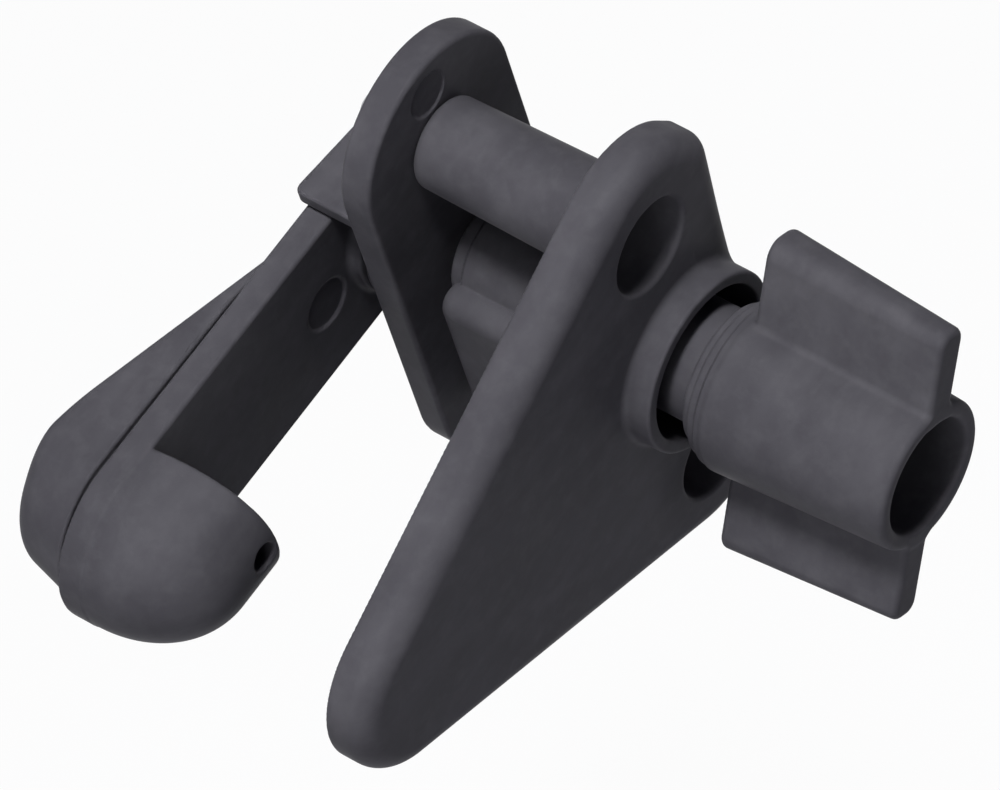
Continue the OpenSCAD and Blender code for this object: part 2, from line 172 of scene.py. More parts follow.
@dataclass
class Skin:
    """Makes a mesh on the surface of a shape, with its vertices settled on the surface.

    Attributes:
        shape: The distance field.
        low: Lowest corner of the space that holds it, in mm.
        high: Highest corner.
        pitch: Spacing of the sampling grid in mm.
        block: Cells along each side of the blocks that the space is first tested in.
        margin: Distance from the surface, in blocks, within which a block is sampled finely.
        batch: Blocks that are sampled at one time.
        chunk: Points that are worked out at one time.
        probe: Half the step that slopes are measured over, in mm.
        settle: How often the vertices are moved onto the surface.
        settle_step: Longest such move in mm.
    """

    shape: Shape
    low: Sequence[float]
    high: Sequence[float]
    pitch: float = 0.5
    block: int = 8
    margin: float = 1.3
    batch: int = 400
    chunk: int = 400_000
    probe: float = 0.02
    settle: int = 3
    settle_step: float = 0.4

    def evaluate(self, points: Array) -> Array:
        """Distances at many points, worked out in chunks."""
        parts = [self.shape(points[i:i + self.chunk]) for i in range(0, len(points), self.chunk)]
        return np.concatenate(parts) if parts else np.zeros(0)

    def slopes(self, points: Array) -> Array:
        """Unit outward directions of the surface at points near it.

        Args:
            points: The points in mm.

        Returns:
            One direction for each point.
        """
        out = np.empty_like(points)
        for axis in range(3):
            shift = np.zeros(3)
            shift[axis] = self.probe
            out[:, axis] = self.evaluate(points + shift) - self.evaluate(points - shift)
        return out / np.maximum(np.linalg.norm(out, axis=1, keepdims=True), 1e-9)

    def grid(self) -> tuple[Array, Array]:
        """Samples the shape, finely near its surface only.

        Returns:
            The grid's values, and the position of its first point.
        """
        low, high = np.array(self.low, float), np.array(self.high, float)
        size = self.pitch * self.block
        counts = np.ceil((high - low) / size).astype(int)
        cells = np.stack(np.meshgrid(*[np.arange(c) for c in counts], indexing="ij"), -1).reshape(-1, 3)
        centre = low + (cells + 0.5) * size
        rough = self.evaluate(centre)
        values = np.kron(rough.reshape(counts), np.ones((self.block,) * 3))
        values = np.pad(values, [(0, 1)] * 3, mode="edge")
        near = cells[np.abs(rough) < size * self.margin]
        offsets = np.stack(np.meshgrid(*[np.arange(self.block + 1)] * 3, indexing="ij"), -1).reshape(-1, 3)
        for start in range(0, len(near), self.batch):
            index = (near[start:start + self.batch, None] * self.block + offsets[None]).reshape(-1, 3)
            values[tuple(index.T)] = self.evaluate(low + index * self.pitch)
        return values, low

    def crossings(self, values: Array, cell: Array) -> Array:
        """Finds the middle of the points where the surface crosses the edges of each cell.

        Args:
            values: The grid's values.
            cell: Index of each cell that the surface runs through.

        Returns:
            Its place from the cell's first corner, in cells.
        """
        place, hits = np.zeros((len(cell), 3)), np.zeros(len(cell))
        for axis in range(3):
            others = [a for a in range(3) if a != axis]
            for i, j in ((0, 0), (0, 1), (1, 0), (1, 1)):
                a = np.zeros(3, int)
                a[others[0]], a[others[1]] = i, j
                b = a.copy()
                b[axis] = 1
                va, vb = values[tuple((cell + a).T)], values[tuple((cell + b).T)]
                crossing = (va < 0) != (vb < 0)
                t = np.where(crossing, va / np.where(crossing, va - vb, 1.0), 0.0)
                place += np.where(crossing[:, None], a + t[:, None] * (b - a), 0.0)
                hits += crossing
        return place / hits[:, None]

    def quads(self, inside: Array, number: Array) -> Array:
        """Joins the vertices round each grid edge that the surface crosses.

        Args:
            inside: Which grid points lie inside the shape.
            number: The vertex of each cell.

        Returns:
            The four vertices of each face, turned outward.
        """
        quads = []
        for axis in range(3):
            others = [a for a in range(3) if a != axis]
            ahead = np.moveaxis(inside, axis, 0)
            flips = np.moveaxis(ahead[:-1] != ahead[1:], 0, axis)
            edge = np.argwhere(flips)
            first = inside[tuple(edge.T)]
            ring = []
            for i, j in ((0, 0), (1, 0), (1, 1), (0, 1)):
                step = np.zeros(3, int)
                step[others[0]], step[others[1]] = i, j
                ring.append(number[tuple((edge - step).T)])
            quad = np.stack(ring, 1)
            turn = first if axis != 1 else ~first
            quads.append(np.where(turn[:, None], quad, quad[:, ::-1]))
        return np.concatenate(quads)

    def surface(self) -> tuple[Array, Array, Array]:
        """Finds the surface.

        Returns:
            Vertices in mm, quads, and the outward direction at each vertex.
        """
        values, low = self.grid()
        inside = values < 0
        corner = [inside[x:inside.shape[0] - 1 + x, y:inside.shape[1] - 1 + y, z:inside.shape[2] - 1 + z]
                  for x in (0, 1) for y in (0, 1) for z in (0, 1)]
        total = np.sum(corner, axis=0)
        cell = np.argwhere((total > 0) & (total < len(corner)))
        number = np.full(total.shape, -1)
        number[tuple(cell.T)] = np.arange(len(cell))
        vertices = low + (cell + self.crossings(values, cell)) * self.pitch
        for _ in range(self.settle):
            move = np.clip(self.evaluate(vertices), -self.settle_step, self.settle_step)
            vertices = vertices - self.slopes(vertices) * move[:, None]
        return vertices, self.quads(inside, number), self.slopes(vertices)

    def build(self, name: str) -> bpy.types.Object:
        """Makes the named object in the scene.

        Args:
            name: Name of the object and of its mesh.

        Returns:
            The object.
        """
        vertices, quads, out = self.surface()
        mesh = bpy.data.meshes.new(name)
        mesh.from_pydata((vertices * MM).tolist(), [], quads.tolist())
        mesh.polygons.foreach_set("use_smooth", np.ones(len(mesh.polygons), bool))
        mesh.normals_split_custom_set_from_vertices(out.tolist())
        return place_mesh(name, mesh)


def place_mesh(name: str, mesh: bpy.types.Mesh) -> bpy.types.Object:
    """Puts a mesh into the scene as an object of the same name.

    Args:
        name: Name of the object.
        mesh: Its mesh.

    Returns:
        The object.
    """
    piece = bpy.data.objects.new(name, mesh)
    bpy.context.scene.collection.objects.link(piece)
    return piece


# Sizes that several pieces share, in millimetres; Y runs from the knob to the rear

@dataclass(frozen=True)
class Levels:
    """Where the faces lie along the pivot.

    Attributes:
        grip: The rear plate's inner face, and so the gap that holds the gate's stile.
        screw_z: Distance of each clamp screw from the pivot.
        journal: Radius of the holes round the spindle.
        mould_pitch: Spacing of the grid that the mouldings are sampled on.
    """

    guard_face: float = -8.0
    recess_floor: float = -3.0
    neck_end: float = -7.6
    stem_end: float = 6.0
    spring_start: float = 7.2
    sleeve_floor: float = 25.0
    sleeve_end: float = 30.7
    post_seat: float = 11.0
    grip: float = 32.0
    rear_back: float = 37.6
    boss_face: float = 43.4
    hub_face: float = 44.2
    arm_face: float = 46.2
    arm_back: float = 51.2
    screw_z: float = 30.0
    journal: float = 5.08
    mould_pitch: float = 0.45


LEVELS = Levels()


class Body(Enum):
    """The bodies that the pieces ride on."""

    BASE = "base"
    CARRIAGE = "carriage"
    LATCH = "latch"


class Slot(Enum):
    """The record's material slots."""

    NYLON = "nylon"
    STAINLESS = "stainless"
    SPRING_WIRE = "spring_wire"
    ACETAL = "acetal"


def dress(piece: bpy.types.Object, node: str, body: Body, slot: Slot, finish: bpy.types.Material) -> None:
    """Gives a piece its finish and its body, and hides the CAD node that it stands for.

    Args:
        piece: The piece.
        node: The CAD node that it replaces.
        body: The body that it rides on.
        slot: The record's slot of its finish; not used.
        finish: Its material.
    """
    piece.data.materials.append(finish)
    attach(piece, body.value)
    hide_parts(node)
    LOG.info("%s: %d faces", piece.name, len(piece.data.polygons))


@dataclass(frozen=True)
class Moulding:
    """A nylon moulding that is made from its shape.

    Attributes:
        name: Name of the piece.
        node: The CAD node that it replaces.
        body: The body that it rides on.
        low: Lowest corner of the space that holds it.
        high: Highest corner.
    """

    name: str
    node: str
    body: Body
    low: Sequence[float]
    high: Sequence[float]

    def shape(self, p: Array) -> Array:
        """Distances to the whole moulding.

        Args:
            p: Points.

        Returns:
            One distance for each point.
        """
        raise NotImplementedError

    def build(self, finish: bpy.types.Material) -> None:
        """Makes the moulding."""
        piece = Skin(self.shape, self.low, self.high, LEVELS.mould_pitch).build(self.name)
        dress(piece, self.node, self.body, Slot.NYLON, finish)


@dataclass(frozen=True)
class FrontPlate(Moulding):
    """The pointed guard plate with its collar, pivot sleeve, two screw posts and web.

    Attributes:
        corner: (x, z, radius) of the large round of the outline; the lower half mirrors the upper.
        point: (x, z, radius) of the small round at the end of the short side.
        tip: (x, z, radius) of the pointed end.
        waist_x: Where the hollow of the short side is deepest.
        root: Y inside the plate where the sleeve, the posts and the web start.
        sleeve_r: Radius of the sleeve at its root and before its lip.
        sleeve_step: Y of the step to the lip.
        sleeve_lip: Radius of the sleeve's narrow rear end.
        post_r: Radius of the posts at their root and at their end.
        mouth: (Y, radius) of the post's open mouth in front and inside.
        post_bore: Radius of the room for the screw's head.
        web_x: Sides of the web between the sleeve and the lower post.
        marks: (x, z) of the ejector marks on the inner face.
        mark: Radius and depth of those marks.
        rim_round: Rounding of the collar's rim.
        joins: Fillets round the collar, between sleeve and web, round the posts and along the plate.
    """

    name: str = "guard_moulding"
    node: str = "front_plate"
    body: Body = Body.BASE
    low: Sequence[float] = (-84.5, -13.5, -47.8)
    high: Sequence[float] = (19.6, 33, 47.8)
    face_round: float = 4.2
    back_round: float = 0.9
    corner: tuple[float, float, float] = (0.8, 29.1, 17.5)
    point: tuple[float, float, float] = (11.3, 32.5, 7.0)
    tip: tuple[float, float, float] = (-67.5, 0.0, 16.0)
    waist_x: float = 16.9
    waist_r: float = 200.0
    waist_round: float = 3.0
    collar_r: float = 15.5
    collar_h: float = 4.7
    collar_root: float = -4.0
    recess_r: float = 13.3
    root: float = -2.0
    sleeve_r: tuple[float, float] = (9.5, 9.35)
    sleeve_step: float = 28.3
    sleeve_bore: float = 7.2
    sleeve_lip: float = 8.8
    post_r: tuple[float, float] = (8.4, 7.8)
    mouth: tuple[tuple[float, float], ...] = ((-9.0, 8.5), (1.0, 6.8))
    post_bore: float = 6.2
    screw_hole: float = 3.2
    web_x: tuple[float, float] = (-13.6, -6.6)
    web_top: float = 3.4
    web_end: float = 30.0
    web_round: float = 2.4
    marks: tuple[tuple[float, float], ...] = ((-34.0, 13.0), (-34.0, -13.0), (-62.0, 0.0))
    mark: tuple[float, float] = (4.0, 0.25)
    rim_round: float = 0.5
    joins: tuple[float, float, float, float] = (1.3, 0.3, 1.0, 1.4)

    def outline(self, x: Array, z: Array) -> Array:
        """Distances in the plate's plane to its outline.

        Args:
            x: X of the points.
            z: Z of the points.

        Returns:
            One distance for each point.
        """
        side = np.abs(z)
        hull = np.minimum(strap(x, side, self.tip, self.corner), strap(x, side, self.corner, self.point))
        lower = (self.point[0], -self.point[1], self.point[2])
        hull = np.minimum(hull, strap(x, z, self.point, lower))
        inner = x - self.point[0]
        for start, end in ((self.tip, self.corner), (self.corner, self.point)):
            du, dv = end[0] - start[0], end[1] - start[1]
            inner = np.maximum(inner, ((side - start[1]) * du - (x - start[0]) * dv) / math.hypot(du, dv))
        waist = self.waist_r - np.hypot(x - self.waist_x - self.waist_r, z)
        return soft_max(np.minimum(hull, inner), waist, self.waist_round)

    def shape(self, p: Array) -> Array:
        """Distances to the whole moulding.

        Args:
            p: Points.

        Returns:
            One distance for each point.
        """
        x, y, z = p.T
        twin = np.column_stack([x, y, np.abs(z)])
        level = LEVELS
        plate = rounded_cap(self.outline(x, z), level.guard_face - y, self.face_round)
        plate = soft_max(plate, y, self.back_round)
        collar_top = level.guard_face - self.collar_h
        collar = rod(p, 0, 0, self.collar_r, collar_top, self.collar_root, self.rim_round)
        collar_join, web_join, post_join, plate_join = self.joins
        body = soft_min(plate, collar, collar_join)
        sleeve_ends = ((self.root, self.sleeve_r[0]), (self.sleeve_step, self.sleeve_r[1]))
        sleeve = cone(p, 0, 0, sleeve_ends, edge=0.5)
        sleeve = np.minimum(sleeve, rod(p, 0, 0, self.sleeve_lip, self.root, level.sleeve_end, edge=0.6))
        post_ends = ((self.root, self.post_r[0]), (level.grip, self.post_r[1]))
        post = cone(twin, 0, level.screw_z, post_ends, edge=1.5)
        half = (self.web_x[1] - self.web_x[0]) / 2
        nearly_round = half - 0.1
        web = rounded_cap(np.abs(x - sum(self.web_x) / 2) - half, z - self.web_top, nearly_round)
        web = rounded_cap(web, y - self.web_end, self.web_round)
        web = np.maximum(np.maximum(web, -level.screw_z - z), self.root - y)
        rear = soft_min(soft_min(sleeve, web, web_join), post, post_join)
        body = soft_min(body, rear, plate_join)
        recess = rod(p, 0, 0, self.recess_r, AHEAD, level.recess_floor, edge=1.0)
        body = cut(body, recess, self.rim_round)
        spring_room = rod(p, 0, 0, self.sleeve_bore, AHEAD, level.sleeve_floor, edge=0.4)
        body = cut(body, spring_room, blend=0.6)
        body = cut(body, rod(p, 0, 0, level.journal, level.stem_end, BEHIND, edge=0.4), blend=0.5)
        head_room = rod(twin, 0, level.screw_z, self.post_bore, AHEAD, level.post_seat, edge=0.4)
        body = cut(body, np.minimum(cone(twin, 0, level.screw_z, self.mouth), head_room), blend=0.7)
        body = cut(body, rod(twin, 0, level.screw_z, self.screw_hole, AHEAD, BEHIND), blend=0.4)
        for mark_x, mark_z in self.marks:
            mark = rod(p, mark_x, mark_z, self.mark[0], -self.mark[1], BEHIND, edge=0.2)
            body = cut(body, mark, blend=0.3)
        return body


@dataclass(frozen=True)
class RearPlate(Moulding):
    """The round-ended rear plate with its pivot boss and stop ledge.

    Attributes:
        end_z: Height of the centre of each round end.
        ledge_x: Ends of the ledge that stops the arm at rest.
        ledge_y: Y of its rear edge at the first end.
        ledge_slope: How much the rear edge comes forward for each mm along X.
        mark: (x, z, radius, depth) of the ejector mark near each end.
    """

    name: str = "rear_plate_moulding"
    node: str = "rear_plate"
    body: Body = Body.BASE
    low: Sequence[float] = (-19, 31.2, -49)
    high: Sequence[float] = (19, 54.6, 49)
    thickness: float = 5.6
    radius: float = 18.0
    end_z: float = 30.2
    edge: float = 0.8
    boss_r: float = 14.0
    boss_fillet: float = 2.4
    ledge_x: tuple[float, float] = (-14.4, 15.2)
    ledge_y: float = 52.9
    ledge_slope: float = 0.093
    ledge_z: tuple[float, float] = (16.4, 19.4)
    ledge_round: float = 1.6
    ledge_edge: float = 0.6
    ledge_fillet: float = 2.0
    screw_hole: float = 3.2
    mark: tuple[float, float, float, float] = (0.5, 41.7, 4.0, 0.35)

    def shape(self, p: Array) -> Array:
        """Distances to the whole moulding.

        Args:
            p: Points.

        Returns:
            One distance for each point.
        """
        x, y, z = p.T
        twin = np.column_stack([x, y, np.abs(z)])
        level = LEVELS
        outline = stadium(z, x, -self.end_z, self.end_z, self.radius)
        middle = (level.grip + level.rear_back) / 2
        body = rounded_cap(outline, np.abs(y - middle) - self.thickness / 2, self.edge)
        boss = rod(p, 0, 0, self.boss_r, middle, level.boss_face, self.edge)
        body = soft_min(body, boss, self.boss_fillet)
        ends = np.abs(x - sum(self.ledge_x) / 2) - (self.ledge_x[1] - self.ledge_x[0]) / 2
        back = y - self.ledge_y + self.ledge_slope * (x - self.ledge_x[0])
        ledge = rounded_cap(ends, back, self.ledge_round)
        half = (self.ledge_z[1] - self.ledge_z[0]) / 2
        ledge = rounded_cap(ledge, np.abs(z - sum(self.ledge_z) / 2) - half, self.ledge_edge)
        body = soft_min(body, np.maximum(ledge, middle - y), self.ledge_fillet)
        body = cut(body, rod(p, 0, 0, level.journal, AHEAD, BEHIND), blend=0.6)
        body = cut(body, rod(twin, 0, level.screw_z, self.screw_hole, AHEAD, BEHIND), blend=0.5)
        mark_x, mark_z, mark_r, depth = self.mark
        return cut(body, rod(twin, mark_x, mark_z, mark_r, AHEAD, level.grip + depth, edge=0.2), blend=0.3)


@dataclass(frozen=True)
class WingKnob(Moulding):
    """The knob: stem and neck, ringed shoulder, drafted barrel with a deep bore, and two wings.

    Attributes:
        front: Y of the barrel's front end.
        shoulder: Y of its rear end.
        barrel_r: Its radius in front and at the rear.
        inner: Y inside the barrel where the neck and the rings start.
        rings: (radius, Y of the rear face) of each ring of the shoulder.
        wing_y: Front and rear end of the wings.
        wing_reach: Distance of their tips from the axis, in front and at the rear.
        wing_half: Half their thickness, in front and at the rear.
        tip_share: Rounding of the tips, as a share of that half.
        wing_angle: Turn of the wings from the X axis in degrees.
        joins: Fillets of the rings, the neck and the wings.
    """

    name: str = "wing_knob_moulding"
    node: str = "wing_knob"
    body: Body = Body.LATCH
    low: Sequence[float] = (-21, -55.4, -29.4)
    high: Sequence[float] = (21, 6.8, 29.4)
    front: float = -54.25
    shoulder: float = -20.6
    barrel_r: tuple[float, float] = (12.6, 14.5)
    barrel_round: float = 1.1
    bore: float = 9.8
    floor: float = -22.0
    neck: float = 9.8
    stem: float = 7.12
    inner: float = -22.5
    rings: tuple[tuple[float, float], ...] = ((12.0, -16.2), (13.3, -17.9), (14.1, -19.6))
    wing_y: tuple[float, float] = (-54.1, -21.8)
    wing_reach: tuple[float, float] = (26.7, 29.2)
    wing_half: tuple[float, float] = (3.0, 4.25)
    wing_round: float = 1.1
    tip_share: float = 0.8
    wing_angle: float = 61.0
    joins: tuple[float, float, float] = (0.4, 0.5, 1.0)

    def shape(self, p: Array) -> Array:
        """Distances to the whole moulding.

        Args:
            p: Points.

        Returns:
            One distance for each point.
        """
        x, y, z = p.T
        level = LEVELS
        ring_join, neck_join, wing_join = self.joins
        ends = ((self.front, self.barrel_r[0]), (self.shoulder, self.barrel_r[1]))
        body = cone(p, 0, 0, ends, self.barrel_round)
        for radius, back in self.rings:
            body = soft_min(body, rod(p, 0, 0, radius, self.inner, back, edge=0.5), ring_join)
        body = soft_min(body, rod(p, 0, 0, self.neck, self.inner, level.neck_end, edge=0.5), neck_join)
        turn = math.radians(self.wing_angle)
        along = np.abs(x * math.cos(turn) + z * math.sin(turn))
        across = np.abs(z * math.cos(turn) - x * math.sin(turn))
        share = np.clip((y - self.wing_y[0]) / (self.wing_y[1] - self.wing_y[0]), -0.1, 1.1)
        reach = self.wing_reach[0] + share * (self.wing_reach[1] - self.wing_reach[0])
        half = self.wing_half[0] + share * (self.wing_half[1] - self.wing_half[0])
        middle, length = sum(self.wing_y) / 2, self.wing_y[1] - self.wing_y[0]
        wing = rounded_cap(across - half, along - reach, self.tip_share * half)
        wing = rounded_cap(wing, np.abs(y - middle) - length / 2, self.wing_round)
        body = soft_min(body, wing, wing_join)
        body = soft_min(body, rod(p, 0, 0, self.stem, self.inner, level.stem_end, edge=0.5), neck_join)
        body = cut(body, rod(p, 0, 0, self.bore, AHEAD, self.floor, edge=0.8), blend=1.2)
        body = cut(body, rod(p, 0, 0, level.journal, AHEAD, BEHIND), blend=0.4)
        return np.maximum(body, self.front - y)


@dataclass(frozen=True)
class LatchArm(Moulding):
    """The arm: a round-ended bar with its hub, the domed hook in front and the thumb wedge behind.

    Attributes:
        reach: Distance from the pivot to the centre of the bar's round end.
        hook_inset: How far the dome's foot lies inside the bar's edge.
        hook_flat: Length of the dome's straight part.
        hook_lean: How far its flat end leans toward the pivot at the nose.
        fullness: 1 for an ellipse, less for a fuller dome.
        hole: (x, radius, Y of the floor) of the cored hole in the hook.
        wedge_r: Radius of the wedge's round end at its foot and at its top.
        wedge_x: X of that round's centre at its foot and at its top.
        wedge_round: Edge rounding along the sides and round the far end.
        wedge_start: X where the wedge starts to rise.
        wedge_narrow: How much narrower the wedge is where it starts.
        round_run: Length over which the edge rounding grows.
        groove: Depth, height above the bar and radius of the groove at the wedge's foot.
        groove_fade: Distance before the wedge's start where the groove begins to run out, the length that
            it takes and how much it rises there.
        mark: (x, radius, depth) of the ejector mark on the bar.
        pivot_hole: Radius of the hole for the spindle's square end and its screw.
    """

    name: str = "latch_arm_moulding"
    node: str = "latch_arm"
    body: Body = Body.LATCH
    low: Sequence[float] = (-86, 26.4, -17)
    high: Sequence[float] = (17, 65, 17)
    reach: float = 68.6
    radius: float = 15.97
    edge: float = 0.6
    hub_r: float = 14.0
    hook_depth: float = 18.8
    hook_inset: float = 0.12
    hook_flat: float = 7.3
    hook_lean: float = 2.2
    fullness: float = 0.93
    hole: tuple[float, float, float] = (-62.5, 2.4, 36.4)
    wedge_h: float = 12.88
    wedge_r: tuple[float, float] = (15.1, 15.0)
    wedge_x: tuple[float, float] = (-67.8, -64.5)
    wedge_round: tuple[float, float] = (1.3, 3.8)
    wedge_start: float = -20.8
    wedge_narrow: float = 0.8
    round_run: float = 10.0
    groove: tuple[float, float, float] = (0.8, 0.4, 0.45)
    groove_fade: tuple[float, float, float] = (12.0, 8.0, 1.2)
    mark: tuple[float, float, float] = (-20.7, 4.5, 0.45)
    pivot_hole: float = 3.5

    def hook(self, x: Array, y: Array, z: Array) -> Array:
        """Distances to the dome, cut on its side toward the pivot by a flat that leans that way.

        Args:
            x: X of the points.
            y: Y of the points.
            z: Z of the points.

        Returns:
            One distance for each point.
        """
        past = np.minimum(x + self.reach, 0.0)
        across = np.hypot(past, z)
        deep = np.maximum(LEVELS.arm_face - y, 0.0)
        power = 2 / self.fullness
        a, b = across / (self.radius - self.hook_inset), deep / self.hook_depth
        level = a ** power + b * b - 1
        slope = np.hypot(power * a ** (power - 1) / self.radius, 2 * b / self.hook_depth)
        # Away from the dome this is only an estimate, so it is kept within bounds
        dome = np.clip(level / np.maximum(slope, 0.02), -20, 60)
        dome = np.maximum(dome, y - LEVELS.arm_back + 1)
        flat = (x + self.reach - self.hook_flat) * self.hook_depth + (y - LEVELS.arm_face) * self.hook_lean
        return soft_max(dome, flat / math.hypot(self.hook_depth, self.hook_lean), 0.7)

    def wedge(self, x: Array, y: Array, z: Array) -> tuple[Array, Array]:
        """Distances to the thumb wedge, which rises from the hub to the far end, and to its foot's groove.

        Args:
            x: X of the points.
            y: Y of the points.
            z: Z of the points.

        Returns:
            The distances to the wedge and those to the groove.
        """
        start, back = self.wedge_start, LEVELS.arm_back
        share = np.clip((y - back) / self.wedge_h, 0, 1)
        end = self.wedge_x[0] + share * (self.wedge_x[1] - self.wedge_x[0])
        wide = self.wedge_r[0] + share * (self.wedge_r[1] - self.wedge_r[0])
        wide = wide - self.wedge_narrow * np.clip(1 + (x - start) / (start - self.wedge_x[1]), 0, 1)
        outline = np.hypot(x - np.clip(x, end, 0), z) - wide
        run, rise = start - self.wedge_x[1], self.wedge_h
        slope = ((y - back) * run - (start - x) * rise) / math.hypot(run, rise)
        top = soft_max(y - back - self.wedge_h, slope, 2.5)
        far = np.clip((self.wedge_x[1] - x) / self.round_run, 0, 1)
        edge = self.wedge_round[0] + far * far * (3 - 2 * far) * (self.wedge_round[1] - self.wedge_round[0])
        depth, rise, half = self.groove
        before, length, lift = self.groove_fade
        fade = lift * np.clip((x - start + before) / length, 0, 1)
        groove = np.hypot(outline - np.clip(outline, -depth, 2.0), y - back - rise) - half + fade
        return np.maximum(rounded_cap(outline, top, edge), back - 1 - y), groove

    def shape(self, p: Array) -> Array:
        """Distances to the whole moulding.

        Args:
            p: Points.

        Returns:
            One distance for each point.
        """
        x, y, z = p.T
        level = LEVELS
        middle, half = (level.arm_face + level.arm_back) / 2, (level.arm_back - level.arm_face) / 2
        bar = rounded_cap(stadium(x, z, -self.reach, 0, self.radius), np.abs(y - middle) - half, self.edge)
        body = soft_min(bar, rod(p, 0, 0, self.hub_r, level.hub_face, middle, self.edge), blend=1.4)
        body = soft_min(body, self.hook(x, y, z), blend=0.25)
        wedge, groove = self.wedge(x, y, z)
        body = cut(np.minimum(body, wedge), groove, blend=0.6)
        hole_x, hole_r, hole_floor = self.hole
        body = cut(body, rod(p, hole_x, 0, hole_r, AHEAD, hole_floor, edge=0.5), blend=0.9)
        mark_x, mark_r, depth = self.mark
        body = cut(body, rod(p, mark_x, 0, mark_r, AHEAD, level.arm_face + depth, edge=0.3), blend=0.7)
        return cut(body, rod(p, 0, 0, self.pivot_hole, AHEAD, BEHIND), blend=0.4)


# Fasteners and the sprung pivot

def hexagon(u: Array, v: Array, across_flats: float) -> Array:
    """Distances in a plane to a hexagon of the given width across its flats."""
    turns = [math.radians(a) for a in (0, 60, 120)]
    return np.max([np.abs(u * math.cos(t) + v * math.sin(t)) for t in turns], axis=0) - across_flats / 2


@dataclass(frozen=True)
class CapScrew:
    """A socket cap screw along Y, with a knurled head and a rolled thread.

    Attributes:
        seat: Y of the head's underside.
        head_way: -1 where the head points to the front, 1 where it points to the rear.
        length: Length of the shank.
        radius: Radius of the shank.
        head_r: Radius of the head.
        head_h: Height of the head.
        key: Width of the socket across its flats.
        thread: Pitch of the thread.
        knurls: Ridges round the head.
        knurl_h: Half the height of a ridge.
        socket_floor: Height of the socket's floor, as a share of the head's.
        thread_h: Depth of the thread, as a share of its pitch.
    """

    seat: float
    head_way: int
    length: float
    radius: float
    head_r: float
    head_h: float
    key: float
    thread: float
    knurls: int = 44
    knurl_h: float = 0.07
    socket_floor: float = 0.45
    thread_h: float = 0.3

    def shape(self, x: Array, y: Array, z: Array) -> Array:
        """Distances to the screw, for points measured from its axis.

        Args:
            x: X of the points from its axis.
            y: Y of the points.
            z: Z of the points from its axis.

        Returns:
            One distance for each point.
        """
        up = (y - self.seat) * self.head_way
        r, turn = np.hypot(x, z), np.arctan2(z, x)
        wall = r - self.head_r + self.knurl_h + self.knurl_h * np.cos(turn * self.knurls)
        head = rounded_cap(wall, np.abs(up - self.head_h / 2) - self.head_h / 2, radius=0.5)
        socket = np.maximum(hexagon(x, z, self.key), self.head_h * self.socket_floor - up)
        head = cut(head, socket, blend=0.3)
        ridge = np.abs(((up / self.thread - turn / math.tau) % 1.0) * 2 - 1)
        depth = self.thread_h * self.thread * ridge
        # The thread makes the field steeper than a true distance, so the shank's is eased
        shank = soft_max(r - self.radius + depth, -up - self.length, blend=0.8)
        return np.minimum(head, np.maximum(shank * 0.8, up - 0.2))


@dataclass(frozen=True)
class Washer:
    """A flat washer along Y.

    Attributes:
        start: Y of its front face.
        radius: Its outer radius.
        hole: Radius of its hole.
        edge: Radius of its edges.
    """

    start: float
    thickness: float
    radius: float
    hole: float
    edge: float = 0.2

    def shape(self, x: Array, y: Array, z: Array) -> Array:
        """Distances to the washer, for points measured from its axis.

        Args:
            x: X of the points from its axis.
            y: Y of the points.
            z: Z of the points from its axis.

        Returns:
            One distance for each point.
        """
        middle = self.start + self.thickness / 2
        r = np.hypot(x, z)
        ring = np.abs(r - (self.radius + self.hole) / 2) - (self.radius - self.hole) / 2
        return rounded_cap(ring, np.abs(y - middle) - self.thickness / 2, self.edge)


@dataclass(frozen=True)
class HexNut:
    """A hexagon nut along Y with turned corners on both faces.

    Attributes:
        start: Y of its front face.
        hole: Radius of its hole.
        chamfer: Slope of the turned corners, and where they start as a share of the width.
    """

    start: float
    thickness: float
    across_flats: float
    hole: float
    chamfer: tuple[float, float] = (1.9, 0.525)

    def shape(self, x: Array, y: Array, z: Array) -> Array:
        """Distances to the nut, for points measured from its axis.

        Args:
            x: X of the points from its axis.
            y: Y of the points.
            z: Z of the points from its axis.

        Returns:
            One distance for each point.
        """
        middle = self.start + self.thickness / 2
        r, off = np.hypot(x, z), np.abs(y - middle) - self.thickness / 2
        slope, start = self.chamfer
        body = soft_max(hexagon(z, x, self.across_flats), off, blend=0.3)
        corner = (r + slope * off - self.across_flats * start) / math.hypot(1, slope)
        body = soft_max(body, corner, blend=0.25)
        return cut(body, r - self.hole, blend=0.5)


Turned = CapScrew | Washer | HexNut


@dataclass(frozen=True)
class SmallPart:
    """A fastener or a washer as a piece of the scene.

    Attributes:
        form: The fastener or washer.
        name: Name of the piece.
        node: The CAD node that it replaces.
        span: Its lowest Y, highest Y and largest radius.
        body: The body that it rides on.
        slot: The slot of its finish.
        twin_z: Distance of each of a pair from the pivot, or 0 for one on the pivot.
        room: Space left round it when it is sampled.
        pitch: Spacing of the grid that it is sampled on.
    """

    form: Turned
    name: str
    node: str
    span: tuple[float, float, float]
    body: Body = Body.LATCH
    slot: Slot = Slot.STAINLESS
    twin_z: float = 0.0
    room: float = 0.6
    pitch: float = 0.25

    def shape(self, p: Array) -> Array:
        """Distances to the part, or to the nearer one of the pair."""
        x, y, z = p.T
        return self.form.shape(x, y, np.abs(z) - self.twin_z if self.twin_z else z)

    def build(self, finish: bpy.types.Material) -> None:
        """Makes the part or the pair.

        Args:
            finish: The material.
        """
        front, back = self.span[0] - self.room, self.span[1] + self.room
        wide = self.span[2] + self.room
        high = self.twin_z + wide
        piece = Skin(self.shape, (-wide, front, -high), (wide, back, high), self.pitch).build(self.name)
        dress(piece, self.node, self.body, self.slot, finish)


